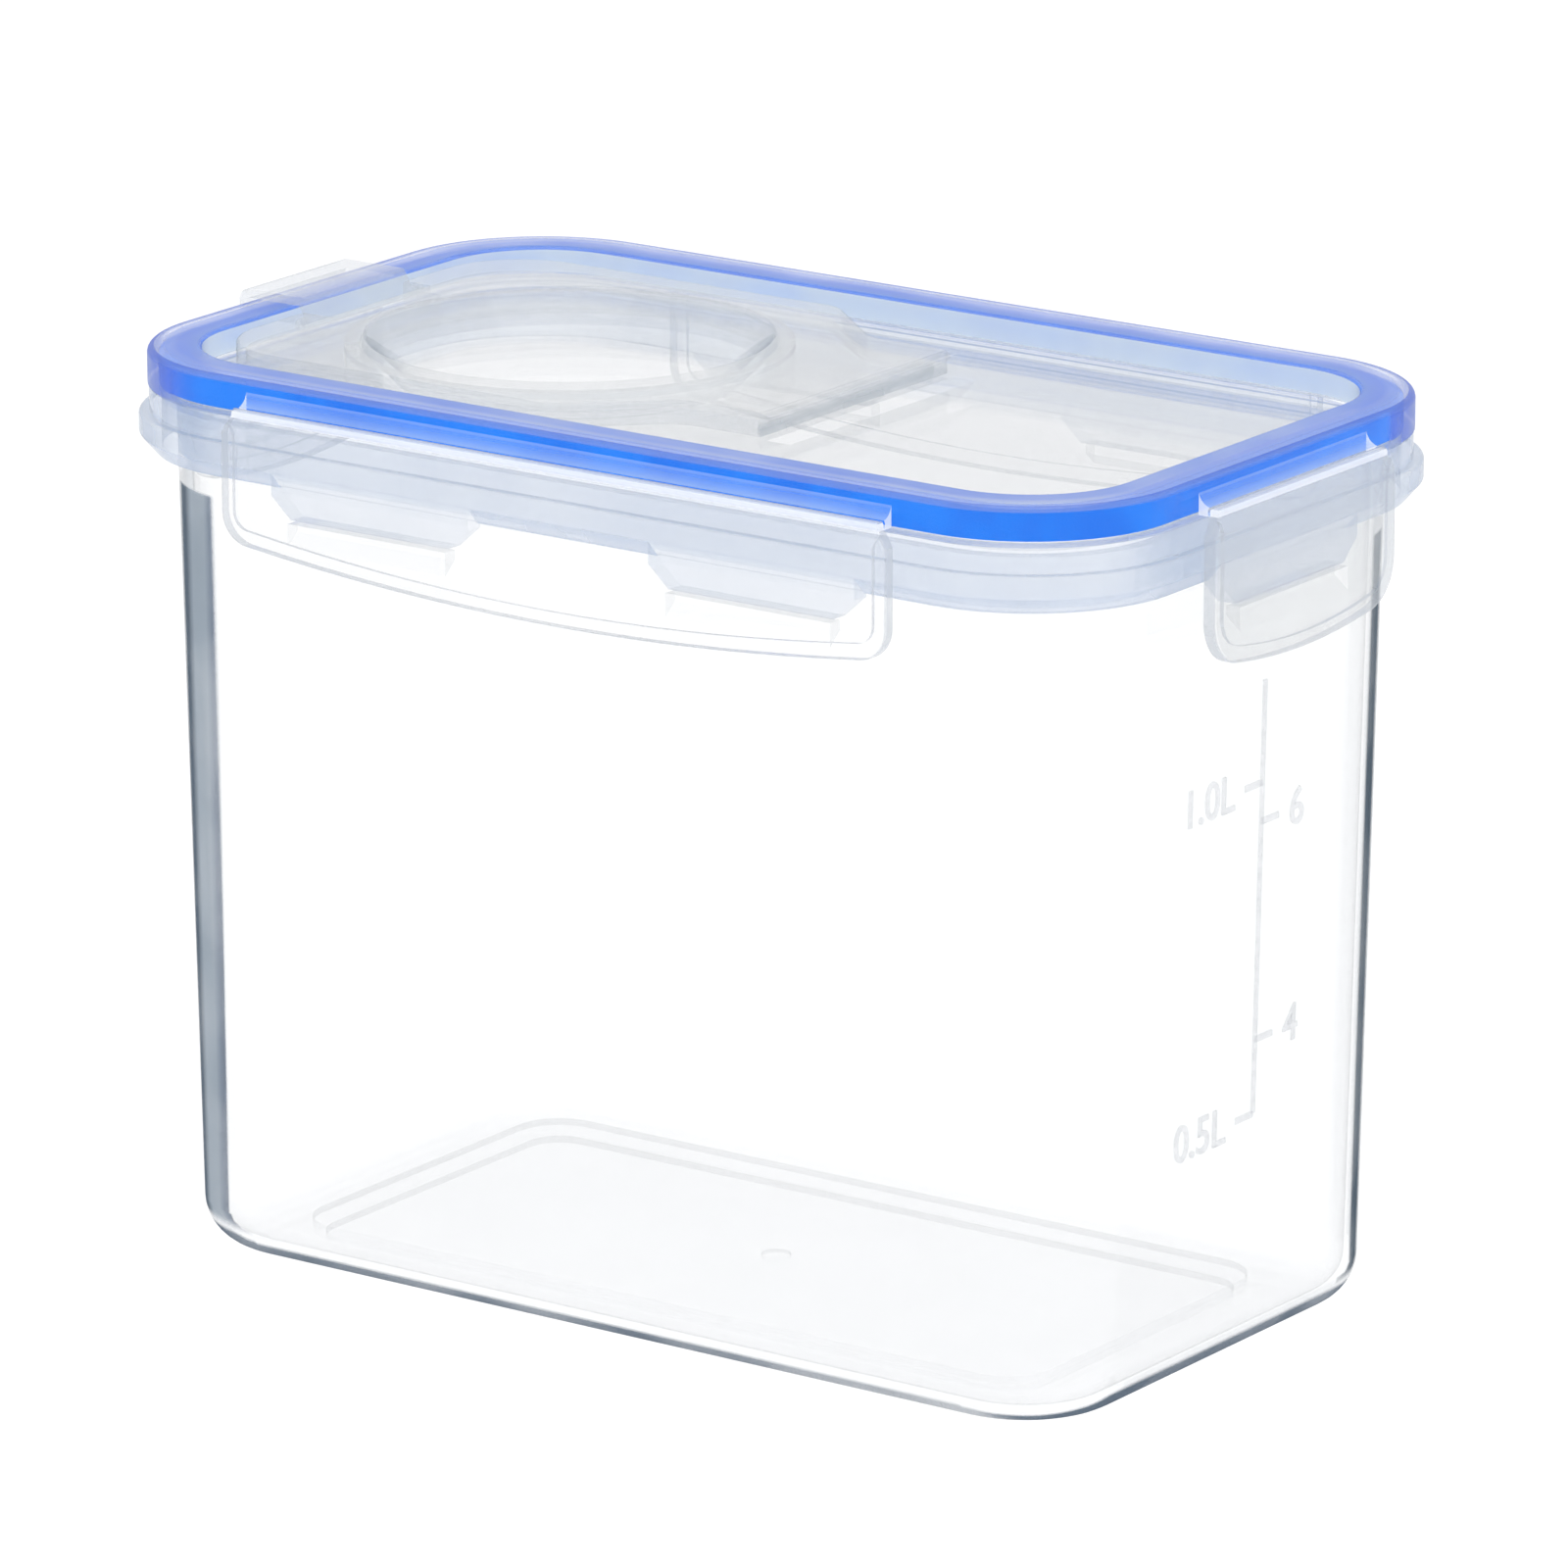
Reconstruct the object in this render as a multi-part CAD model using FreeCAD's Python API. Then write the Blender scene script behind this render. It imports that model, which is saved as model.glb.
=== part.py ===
import FreeCAD, Part
import math
import os

V = FreeCAD.Vector

# Food storage container: clear tub, clip-lock lid with four wings, pour flap with its latch.
# Millimetres, +Z up, +X along the long side, origin on the table under the middle of the tub.
# Reaches ("offsets") are measured outwards from the outer face of the tub's lip, the mouth outline.

# Tub
BASE_LENGTH = 147.4
BASE_WIDTH = 82.8
BASE_CORNER_RADIUS = 16.0
BASE_EDGE_RADIUS = 6.6
DRAFT_DEG = 1.16
WALL = 1.8
FLOOR = 2.0
FLOOR_PANEL_LENGTH = 116.4
FLOOR_PANEL_WIDTH = 55.0
FLOOR_PANEL_CORNER = 5.0
FLOOR_PANEL_RISE = 1.0
GATE_RADIUS = 2.0
GATE_DEPTH = 0.5

# Rim of the tub
RIM_HEIGHT = 122.4
RIM_STEP = 0.65
LIP_WALL = 1.6
LIP_HEIGHT = 2.5
LIP_ROUND = 0.5
COLLAR_REACH = 2.9
COLLAR_ROOF = 1.6
COLLAR_GAP = 1.9
NECK_HEIGHT = 3.4
BULGE_REACH = 1.4
BULGE_HEIGHT = 2.9
BULGE_TAPER = 2.4
BULGE_TAPER_IN = 2.1
BULGE_ROUND = 0.6
LUG_DEPTH = 3.5
LUG_WALL = 2.7
LUG_CHAMFER = 3.2
LUG_CHAMFER_RISE = 2.9
LONG_LUG_START = 14.5
LONG_LUG_LENGTH = 32.3
SHORT_LUG_LENGTH = 32.0

# Gasket
GASKET_WEB = 1.45
GASKET_OUTER_LEG = 1.2
GASKET_INNER_LAND = 1.1
GASKET_LEG_END_GAP = 0.2

# Lid
LID_ROOF = 1.0
LID_EDGE_ROUND = 1.0
LID_INNER_ROUND = 0.6
SKIRT_WALL = 1.5
CHANNEL_WALL = 1.2
PANEL_DEPTH = 4.0
PANEL_WALL = 1.6
PLUG_DEPTH = 1.6
LEDGE_WALL = 1.2
LEDGE_FILLET_RISE = 2.4
LEDGE_FILLET_SAG = 0.3

# Wings
HINGE_RISE = 1.1
BEAD_RADIUS = 0.75
WING_WALL = 1.2
WING_BORDER_RISE = 0.6
WING_BORDER_WIDTH = 2.0
WING_EDGE_ROUND = 0.4
WING_SHOULDER = 1.6
WING_SHOULDER_DROP = 2.5
LONG_WING_LENGTH = 106.6
LONG_WING_HEIGHT = 20.7
LONG_WING_BOW = 3.6
LONG_WING_CORNER = 4.5
SHORT_WING_LENGTH = 42.8
SHORT_WING_HEIGHT = 21.6
SHORT_WING_BOW = 2.2
SHORT_WING_CORNER = 6.5
HOOK_UNDER_LUG = 1.4
HOOK_HEIGHT = 1.4
HOOK_RAMP = 1.8
HOOK_TOP_ROUND = 0.2
HOOK_TIP_ROUND = 0.3

# Pour flap
FLAP_TOP_DROP = 0.4
FLAP_WALL = 1.4
FLAP_SKIRT = 1.3
FLAP_NECK_WIDTH = 43.0
FLAP_NECK_LENGTH = 12.4
FLAP_SHOULDER_LENGTH = 13.6
FLAP_SIDE_LAND = 2.0
FLAP_NECK_LAND = 2.7
FLAP_END_GAP = 2.0
FLAP_CORNER_RADIUS = 12.0
FLAP_NECK_ROUND = 6.0
FLAP_SHOULDER_ROUND = 5.0
FLAP_EDGE_ROUND = 0.4
BEAD_SINK = 0.1
STEP_LAND = 0.5
STEP_SLOPE_LENGTH = 3.2
STEP_DROP = 0.4
DISH_END_LAND = 0.4
DISH_RADIUS = 27.5
DISH_FLOOR_RADIUS = 22.5
DISH_DEPTH = 5.0
DISH_WALL = 1.3
DISH_ROUND = 0.6
SEAL_WIDTH = 2.0
SEAL_GROOVE = 0.4

# Latch
LATCH_WIDTH = 22.0
LATCH_WALL = 1.2
LATCH_AXIS_INSET = 1.3
LATCH_AXIS_DROP = 1.2
LATCH_PIN_RADIUS = 0.6
LATCH_PIN_LENGTH = 1.4
LATCH_BARREL_RADIUS = 0.85
LATCH_LIP_DEPTH = 2.1
LATCH_NOTCH_DEPTH = 4.7
LATCH_BUMP_REACH = 0.7
LATCH_BUMP_HEIGHT = 0.6
LATCH_CATCH_WIDTH = 18.0
LATCH_CATCH_DEPTH = 0.75
LATCH_BUMP_RAMP = 0.5
LATCH_INNER_ROUND = 0.5
LATCH_TIP_ROUND = 0.4
LATCH_OUTER_ROUND = 1.6
LATCH_ARM_ROUND = 1.2
LATCH_ARM_STEP = 1.0

# How far a cutting shape runs past what it cuts
OVERRUN = 1.0

# Fits
LIP_FIT = 0.3
GASKET_FIT = 0.06
SEAT_GAP = 0.3
HINGE_GAP = 0.35
PIN_GAP = 0.25
WING_GAP = 0.7
HOOK_GAP = 0.35
FLAP_GAP = 0.3
SEAL_GAP = 0.1
POUR_GAP = 0.8
LATCH_GAP = 0.3

# Heights that follow
collar_top = RIM_HEIGHT - LIP_HEIGHT
bulge_top = collar_top - NECK_HEIGHT
taper_top = bulge_top - BULGE_HEIGHT
collar_bottom = taper_top - BULGE_TAPER
lug_bottom = collar_bottom - LUG_DEPTH
web_bottom = RIM_HEIGHT + SEAT_GAP
web_top = web_bottom + GASKET_WEB
channel_roof = web_top + GASKET_FIT
lid_top = channel_roof + LID_ROOF
skirt_bottom = collar_top + SEAT_GAP
panel_top = lid_top - PANEL_DEPTH
panel_bottom = panel_top - PANEL_WALL
plug_bottom = panel_bottom - PLUG_DEPTH
hinge_z = skirt_bottom + HINGE_RISE
flap_top = lid_top - FLAP_TOP_DROP
flap_under = flap_top - FLAP_WALL
flap_skirt_bottom = panel_top + FLAP_GAP
flap_hinge_z = flap_top - BEAD_RADIUS - BEAD_SINK

# Reaches that follow
mouth_growth = RIM_HEIGHT * math.tan(math.radians(DRAFT_DEG)) + RIM_STEP
mouth_half_length = BASE_LENGTH / 2 + mouth_growth
mouth_half_width = BASE_WIDTH / 2 + mouth_growth
rim_corner_radius = BASE_CORNER_RADIUS + mouth_growth
bulge_reach = COLLAR_REACH + BULGE_REACH
skirt_inner = LIP_FIT + GASKET_OUTER_LEG + GASKET_FIT
skirt_outer = skirt_inner + SKIRT_WALL
channel_inner = -(LIP_WALL + LIP_FIT + GASKET_INNER_LAND + GASKET_FIT)
panel_edge = channel_inner - CHANNEL_WALL
wing_inner = bulge_reach + WING_GAP
hinge_reach = wing_inner + WING_WALL / 2
hook_tip = bulge_reach - HOOK_UNDER_LUG
flap_end_x = -(mouth_half_length + panel_edge - FLAP_END_GAP)
latch_x = flap_end_x + LATCH_AXIS_INSET
latch_z = flap_top - LATCH_AXIS_DROP
notch_x = flap_end_x + LATCH_NOTCH_DEPTH
notch_half_width = LATCH_WIDTH / 2 + LATCH_GAP
dish_slope = (DISH_RADIUS - DISH_FLOOR_RADIUS) / DISH_DEPTH
dish_skin = DISH_WALL * math.hypot(1, dish_slope)
seal_inner = DISH_RADIUS - dish_slope * FLAP_WALL + dish_skin + FLAP_GAP
seal_outer = seal_inner + SEAL_WIDTH
dish_x = notch_x + FLAP_SKIRT + DISH_END_LAND + seal_outer
flap_half_width = seal_outer + FLAP_SKIRT + FLAP_SIDE_LAND
neck_x = dish_x + seal_outer + FLAP_SKIRT + FLAP_NECK_LAND
flap_hinge_x = neck_x + FLAP_NECK_LENGTH
latch_under = lid_top + LATCH_GAP
latch_top = latch_under + LATCH_WALL
latch_lip_x = -(mouth_half_length + skirt_outer + HINGE_GAP)
latch_lip_bottom = lid_top - LATCH_LIP_DEPTH


def rounded_wire(points, place):
    """Closed wire through (u, v, radius) corners, each rounded by its radius; place(u, v) gives the point."""
    count = len(points)
    corners = []
    for index in range(count):
        u, v, radius = points[index]
        if radius <= 0:
            corners.append((place(u, v), None, place(u, v)))
            continue
        before_u, before_v = points[index - 1][:2]
        after_u, after_v = points[(index + 1) % count][:2]
        before = math.hypot(before_u - u, before_v - v)
        after = math.hypot(after_u - u, after_v - v)
        a = ((before_u - u) / before, (before_v - v) / before)
        b = ((after_u - u) / after, (after_v - v) / after)
        half = 0.5 * math.acos(max(-1.0, min(1.0, a[0] * b[0] + a[1] * b[1])))
        reach = radius / math.tan(half)
        length = math.hypot(a[0] + b[0], a[1] + b[1])
        bulge = radius / math.sin(half) - radius
        middle = place(u + (a[0] + b[0]) / length * bulge, v + (a[1] + b[1]) / length * bulge)
        corners.append((place(u + a[0] * reach, v + a[1] * reach), middle,
                        place(u + b[0] * reach, v + b[1] * reach)))
    edges = []
    for index in range(count):
        start, middle, end = corners[index]
        if middle is not None:
            edges.append(Part.Arc(start, middle, end).toShape())
        following = corners[(index + 1) % count][0]
        if end.distanceToPoint(following) > 1e-6:
            edges.append(Part.makeLine(end, following))
    return Part.Wire(edges)


def rounded_rectangle(half_length, half_width, radius, z):
    """Rounded rectangle around the origin at height z, starting on the +X side."""
    corners = [(half_length, half_width), (-half_length, half_width),
               (-half_length, -half_width), (half_length, -half_width)]
    return rounded_wire([(x, y, radius) for x, y in corners], lambda x, y: V(x, y, z))


def slab(wire, height):
    return Part.Face(wire).extrude(V(0, 0, height))


def box(x0, x1, y0, y1, z0, z1):
    return Part.makeBox(x1 - x0, y1 - y0, z1 - z0, V(x0, y0, z0))


def mouth_outline(offset, z):
    return rounded_rectangle(mouth_half_length + offset, mouth_half_width + offset,
                             rim_corner_radius + offset, z)


def rim_ring(profile):
    """Carry a closed (offset, z, radius) profile once around the mouth: straight sides and turned corners."""
    x = mouth_half_length - rim_corner_radius
    y = mouth_half_width - rim_corner_radius

    def section(place):
        return Part.Face(rounded_wire(profile, place))

    up = V(0, 0, 1)
    right = section(lambda s, z: V(mouth_half_length + s, -y, z)).extrude(V(0, 2 * y, 0))
    right_back = section(lambda s, z: V(mouth_half_length + s, y, z)).revolve(V(x, y, 0), up, 90)
    back = section(lambda s, z: V(x, mouth_half_width + s, z)).extrude(V(-2 * x, 0, 0))
    left_back = section(lambda s, z: V(-x, mouth_half_width + s, z)).revolve(V(-x, y, 0), up, 90)
    half = [right, right_back, back, left_back]
    pieces = half + [turned(piece, 2) for piece in half]
    return one_solid(pieces[0].fuse(pieces[1:]))


def side_profile(profile, half, start, end):
    """Extrude a closed (offset, z, radius) profile along the front side between two X positions."""
    section = rounded_wire(profile, lambda s, z: V(start, -(half + s), z))
    return Part.Face(section).extrude(V(end - start, 0, 0))


def turned(shape, quarter_turns):
    """A copy of a front-side shape turned to another side: 1 right, 2 back, 3 left."""
    copy = shape.copy()
    copy.rotate(V(0, 0, 0), V(0, 0, 1), 90 * quarter_turns)
    return copy


def edges_at(shape, z):
    return [e for e in shape.Edges if abs(e.BoundBox.ZMin - z) < 1e-4 and abs(e.BoundBox.ZMax - z) < 1e-4]


def one_solid(shape):
    merged = shape.removeSplitter()
    return merged.Solids[0] if len(merged.Solids) == 1 else merged


# Tub

def wall_outline(z, inset):
    """Outline of the drafted wall at height z, drawn in by inset; its corners keep their centres."""
    grow = z * math.tan(math.radians(DRAFT_DEG)) - inset
    return rounded_rectangle(BASE_LENGTH / 2 + grow, BASE_WIDTH / 2 + grow, BASE_CORNER_RADIUS + grow, z)


def floor_panel(margin, z, height):
    outline = rounded_rectangle(FLOOR_PANEL_LENGTH / 2 + margin, FLOOR_PANEL_WIDTH / 2 + margin,
                                FLOOR_PANEL_CORNER + margin, z)
    return slab(outline, height)


def lug(half, start, end):
    """Locking lug under the collar on the front side, its lower corners cut off."""
    top = taper_top
    outline = Part.makePolygon([
        V(start, 0, top), V(end, 0, top), V(end, 0, lug_bottom + LUG_CHAMFER_RISE),
        V(end - LUG_CHAMFER, 0, lug_bottom), V(start + LUG_CHAMFER, 0, lug_bottom),
        V(start, 0, lug_bottom + LUG_CHAMFER_RISE), V(start, 0, top)])
    outline.translate(V(0, -(half + bulge_reach), 0))
    return Part.Face(outline).extrude(V(0, LUG_WALL, 0))


def lugs():
    far = LONG_LUG_START + LONG_LUG_LENGTH
    shapes = []
    for turn in (0, 2):
        shapes.append(turned(lug(mouth_half_width, LONG_LUG_START, far), turn))
        shapes.append(turned(lug(mouth_half_width, -far, -LONG_LUG_START), turn))
    for turn in (1, 3):
        shapes.append(turned(lug(mouth_half_length, -SHORT_LUG_LENGTH / 2, SHORT_LUG_LENGTH / 2), turn))
    return shapes


def collar():
    inner = COLLAR_GAP - RIM_STEP
    return rim_ring([
        (-LIP_WALL, collar_top - COLLAR_ROOF, 0), (inner, collar_top - COLLAR_ROOF, 0),
        (inner, collar_bottom, 0), (bulge_reach - BULGE_TAPER_IN, collar_bottom, 0),
        (bulge_reach, taper_top, BULGE_ROUND), (bulge_reach, bulge_top, BULGE_ROUND),
        (COLLAR_REACH, bulge_top, 0), (COLLAR_REACH, collar_top, 0),
        (0, collar_top, 0), (0, RIM_HEIGHT, LIP_ROUND), (-LIP_WALL, RIM_HEIGHT, LIP_ROUND)])


def make_container():
    outer = Part.makeLoft([wall_outline(0, 0), wall_outline(collar_top, 0)], True, True)
    outer = outer.makeFillet(BASE_EDGE_RADIUS, edges_at(outer, 0))
    cavity = Part.makeLoft([wall_outline(FLOOR, WALL), wall_outline(collar_top + OVERRUN, WALL)], True, True)
    cavity = cavity.makeFillet(BASE_EDGE_RADIUS - WALL, edges_at(cavity, FLOOR))
    tub = outer.cut(cavity)
    tub = tub.fuse([floor_panel(WALL, FLOOR / 2, FLOOR / 2 + FLOOR_PANEL_RISE), collar()] + lugs())
    gate = Part.makeCylinder(GATE_RADIUS, GATE_DEPTH + FLOOR_PANEL_RISE)
    tub = tub.cut([floor_panel(0, -OVERRUN, OVERRUN + FLOOR_PANEL_RISE), gate])
    return one_solid(tub)


# Lid

def make_lid_gasket():
    """Blue ring: a web over the lip and a leg outside it."""
    inner = channel_inner + GASKET_FIT
    outer = skirt_inner - GASKET_FIT
    leg_end = skirt_bottom + GASKET_LEG_END_GAP
    return rim_ring([(inner, web_bottom, 0), (LIP_FIT, web_bottom, 0), (LIP_FIT, leg_end, 0),
                     (outer, leg_end, 0), (outer, web_top, 0), (inner, web_top, 0)])


def hinge_half(length):
    return length / 2 - WING_SHOULDER


def ledge(half, half_length):
    """Ledge outside the skirt that carries a wing, hollowed along its edge for the wing's bead."""
    low = hinge_z - LEDGE_WALL / 2
    high = hinge_z + LEDGE_WALL / 2
    tip = hinge_reach - BEAD_RADIUS
    inside = skirt_outer - SKIRT_WALL / 2
    root = high + LEDGE_FILLET_RISE

    def place(s, z):
        return V(-half_length, -(half + s), z)

    hollow_s = skirt_outer + (tip - skirt_outer) * LEDGE_FILLET_SAG
    hollow_z = high + LEDGE_FILLET_RISE * LEDGE_FILLET_SAG
    edges = [Part.makeLine(place(inside, low), place(tip, low)),
             Part.makeLine(place(tip, low), place(tip, high)),
             Part.Arc(place(tip, high), place(hollow_s, hollow_z), place(skirt_outer, root)).toShape(),
             Part.makeLine(place(skirt_outer, root), place(inside, root)),
             Part.makeLine(place(inside, root), place(inside, low))]
    block = Part.Face(Part.Wire(edges)).extrude(V(2 * half_length, 0, 0))
    hollow = Part.makeCylinder(BEAD_RADIUS + HINGE_GAP, 2 * half_length + 2 * OVERRUN,
                               V(-half_length - OVERRUN, -(half + hinge_reach), hinge_z), V(1, 0, 0))
    return block.cut(hollow)


def ledges():
    shapes = []
    for turn in (0, 2):
        shapes.append(turned(ledge(mouth_half_width, hinge_half(LONG_WING_LENGTH)), turn))
    for turn in (1, 3):
        shapes.append(turned(ledge(mouth_half_length, hinge_half(SHORT_WING_LENGTH)), turn))
    return shapes


def flap_step():
    """Raised step across the panel that carries the flap's hinge, sloping down behind it."""
    face_x = flap_hinge_x + BEAD_RADIUS + HINGE_GAP
    top = flap_top - STEP_DROP
    half = FLAP_NECK_WIDTH / 2
    points = [(face_x, panel_bottom), (face_x, top), (face_x + STEP_LAND, top),
              (face_x + STEP_LAND + STEP_SLOPE_LENGTH, panel_top),
              (face_x + STEP_LAND + STEP_SLOPE_LENGTH, panel_bottom)]
    outline = Part.makePolygon([V(x, -half, z) for x, z in points + points[:1]])
    return Part.Face(outline).extrude(V(0, 2 * half, 0))


def dish_outer_radius(z):
    """Radius of the outside of the dish wall at height z."""
    return DISH_RADIUS - dish_slope * (flap_top - z) + dish_skin


def make_lid():
    ring = rim_ring([
        (skirt_outer, skirt_bottom, 0), (skirt_outer, lid_top, LID_EDGE_ROUND),
        (panel_edge, lid_top, LID_INNER_ROUND), (panel_edge, plug_bottom, 0),
        (channel_inner, plug_bottom, 0), (channel_inner, channel_roof, 0),
        (skirt_inner, channel_roof, 0), (skirt_inner, skirt_bottom, 0)])
    panel = slab(mouth_outline(panel_edge + CHANNEL_WALL / 2, panel_bottom), PANEL_WALL)
    lid = ring.fuse([panel, flap_step()] + ledges())
    pour_radius = dish_outer_radius(panel_top) + POUR_GAP
    pour = Part.makeCylinder(pour_radius, PANEL_WALL + 2 * OVERRUN, V(dish_x, 0, panel_bottom - OVERRUN))
    wall_x = -(mouth_half_length + skirt_outer)
    pocket = box(wall_x - hinge_reach, wall_x, -notch_half_width, notch_half_width,
                 latch_lip_bottom - HINGE_GAP, lid_top)
    bump_low = latch_lip_bottom + LATCH_GAP / 2
    catch = box(wall_x - OVERRUN, wall_x + LATCH_CATCH_DEPTH, -LATCH_CATCH_WIDTH / 2 - LATCH_GAP,
                LATCH_CATCH_WIDTH / 2 + LATCH_GAP, bump_low - LATCH_GAP,
                bump_low + LATCH_BUMP_HEIGHT + LATCH_GAP)
    return one_solid(lid.cut([pour, pocket, catch]))


# Wings

def wing_face(half_span, shoulder, top, middle_bottom, corner_bottom):
    """Wing outline in the XZ plane: narrowed at the hinge, bowed along the bottom."""
    low_shoulder = hinge_z - WING_SHOULDER_DROP
    edges = [Part.makeLine(V(-half_span + shoulder, 0, top), V(half_span - shoulder, 0, top)),
             Part.makeLine(V(half_span - shoulder, 0, top), V(half_span, 0, low_shoulder)),
             Part.makeLine(V(half_span, 0, low_shoulder), V(half_span, 0, corner_bottom)),
             Part.Arc(V(half_span, 0, corner_bottom), V(0, 0, middle_bottom),
                      V(-half_span, 0, corner_bottom)).toShape(),
             Part.makeLine(V(-half_span, 0, corner_bottom), V(-half_span, 0, low_shoulder)),
             Part.makeLine(V(-half_span, 0, low_shoulder), V(-half_span + shoulder, 0, top))]
    return Part.Face(Part.Wire(edges))


def with_round_corners(block, half_span, corner_bottom, radius):
    """Round the two lower corners of a wing block."""
    picked = []
    for edge in block.Edges:
        mid = edge.BoundBox.Center
        flat = edge.BoundBox.XLength < 1e-4 and edge.BoundBox.ZLength < 1e-4
        if flat and abs(abs(mid.x) - half_span) < 1e-3 and abs(mid.z - corner_bottom) < 1e-3:
            picked.append(edge)
    return block.makeFillet(radius, picked)


def show_edges(block, thick):
    """Edges around the outer face of a wing block, apart from the one along the hinge."""
    return [e for e in block.Edges
            if abs(e.BoundBox.YMin + thick) < 1e-4 and abs(e.BoundBox.YMax + thick) < 1e-4
            and e.BoundBox.ZMin < hinge_z - 1e-4]


def hook(half, start, end):
    """Hook rib on the inside of a wing that sits under a lug."""
    top = lug_bottom - HOOK_GAP
    tip_low = top - HOOK_HEIGHT
    ramp_low = tip_low - HOOK_RAMP
    root = wing_inner + WING_WALL / 2
    return side_profile([(root, top, 0), (hook_tip, top, HOOK_TOP_ROUND),
                         (hook_tip, tip_low, HOOK_TIP_ROUND), (wing_inner, ramp_low, 0),
                         (root, ramp_low, 0)], half, start, end)


def make_wing(half, length, height, bow, corner, hook_spans):
    """Front-side wing: plate with a raised border, hinge bead and hooks."""
    half_span = length / 2
    middle_bottom = hinge_z - height
    corner_bottom = middle_bottom + bow
    thick = WING_WALL + WING_BORDER_RISE
    block = wing_face(half_span, WING_SHOULDER, hinge_z, middle_bottom, corner_bottom)
    block = block.extrude(V(0, -thick, 0))
    block = with_round_corners(block, half_span, corner_bottom, corner)
    block = block.makeFillet(WING_EDGE_ROUND, show_edges(block, thick))
    inset = WING_BORDER_WIDTH
    field = wing_face(half_span - inset, -inset, hinge_z + OVERRUN,
                      middle_bottom + inset, corner_bottom + inset)
    field = field.extrude(V(0, -thick, 0))
    field = with_round_corners(field, half_span - inset, corner_bottom + inset, corner - inset)
    field.translate(V(0, -WING_WALL, 0))
    wing = block.cut(field)
    wing.translate(V(0, -(half + wing_inner), 0))
    bead = Part.makeCylinder(BEAD_RADIUS, 2 * hinge_half(length),
                             V(-hinge_half(length), -(half + hinge_reach), hinge_z), V(1, 0, 0))
    return one_solid(wing.fuse([bead] + [hook(half, a, b) for a, b in hook_spans]))


def make_long_wing():
    near = LONG_LUG_START + LUG_CHAMFER
    far = LONG_LUG_START + LONG_LUG_LENGTH - LUG_CHAMFER
    return make_wing(mouth_half_width, LONG_WING_LENGTH, LONG_WING_HEIGHT, LONG_WING_BOW, LONG_WING_CORNER,
                     [(near, far), (-far, -near)])


def make_short_wing():
    reach = SHORT_LUG_LENGTH / 2 - LUG_CHAMFER
    return make_wing(mouth_half_length, SHORT_WING_LENGTH, SHORT_WING_HEIGHT, SHORT_WING_BOW,
                     SHORT_WING_CORNER, [(-reach, reach)])


# Pour flap

def flap_outline(z):
    """Flap seen from above: narrow at the hinge, wide over the opening, notched for the latch."""
    half = flap_half_width
    neck = FLAP_NECK_WIDTH / 2
    shoulder_x = neck_x - FLAP_SHOULDER_LENGTH
    upper = [(flap_hinge_x, neck, 0), (neck_x, neck, FLAP_NECK_ROUND),
             (shoulder_x, half, FLAP_SHOULDER_ROUND), (flap_end_x, half, FLAP_CORNER_RADIUS),
             (flap_end_x, notch_half_width, 0), (notch_x, notch_half_width, 0)]
    lower = [(x, -y, r) for x, y, r in reversed(upper)]
    return rounded_wire(upper + lower, lambda x, y: V(x, y, z))


def revolved(points):
    """Turn (radius, z) points about the dish's axis."""
    outline = Part.makePolygon([V(dish_x + r, 0, z) for r, z in points + points[:1]])
    return Part.Face(outline).revolve(V(dish_x, 0, 0), V(0, 0, 1), 360)


def flap_show_edges(plate):
    """Top edges along the flap's sides, from the hinge round to the latch notch."""
    return [e for e in edges_at(plate, flap_top)
            if max(abs(e.BoundBox.YMin), abs(e.BoundBox.YMax)) > FLAP_NECK_WIDTH / 2 - 1e-3
            and e.BoundBox.XMin < flap_hinge_x - 1e-3]


def dish_rim(flap):
    """The round edge where the dish meets the flap's top."""
    return [e for e in edges_at(flap, flap_top)
            if abs(e.BoundBox.YMax - DISH_RADIUS) < 0.05 and abs(e.BoundBox.YMin + DISH_RADIUS) < 0.05]


def make_flap():
    plate = slab(flap_outline(flap_under), FLAP_WALL)
    plate = plate.makeFillet(FLAP_EDGE_ROUND, flap_show_edges(plate))
    rim = flap_outline(flap_skirt_bottom)
    inside = rim.makeOffset2D(-FLAP_SKIRT)
    skirt = slab(rim, flap_under - flap_skirt_bottom).cut(slab(inside, flap_under - flap_skirt_bottom))
    bead = Part.makeCylinder(BEAD_RADIUS, FLAP_NECK_WIDTH - 2 * HINGE_GAP,
                             V(flap_hinge_x, -FLAP_NECK_WIDTH / 2 + HINGE_GAP, flap_hinge_z), V(0, 1, 0))
    floor_z = flap_top - DISH_DEPTH
    under_z = floor_z - DISH_WALL
    hollow = revolved([(0, floor_z), (DISH_FLOOR_RADIUS, floor_z), (DISH_RADIUS, flap_top), (0, flap_top)])
    cup = revolved([(0, under_z), (dish_outer_radius(under_z), under_z),
                    (dish_outer_radius(flap_under), flap_under), (dish_outer_radius(flap_under), flap_top),
                    (0, flap_top)])
    groove = Part.makeCylinder(seal_outer + GASKET_FIT, SEAL_GROOVE, V(dish_x, 0, flap_under))
    core = Part.makeCylinder(seal_inner - GASKET_FIT, SEAL_GROOVE, V(dish_x, 0, flap_under))
    flap = plate.fuse([skirt, bead, cup])
    hole = Part.makeCylinder(LATCH_PIN_RADIUS + PIN_GAP, LATCH_WIDTH + 2 * (LATCH_PIN_LENGTH + OVERRUN),
                             V(latch_x, -LATCH_WIDTH / 2 - LATCH_PIN_LENGTH - OVERRUN, latch_z), V(0, 1, 0))
    flap = flap.cut([hollow, groove.cut(core), hole])
    flap = flap.removeSplitter()
    return one_solid(flap.makeFillet(DISH_ROUND, dish_rim(flap)))


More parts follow.
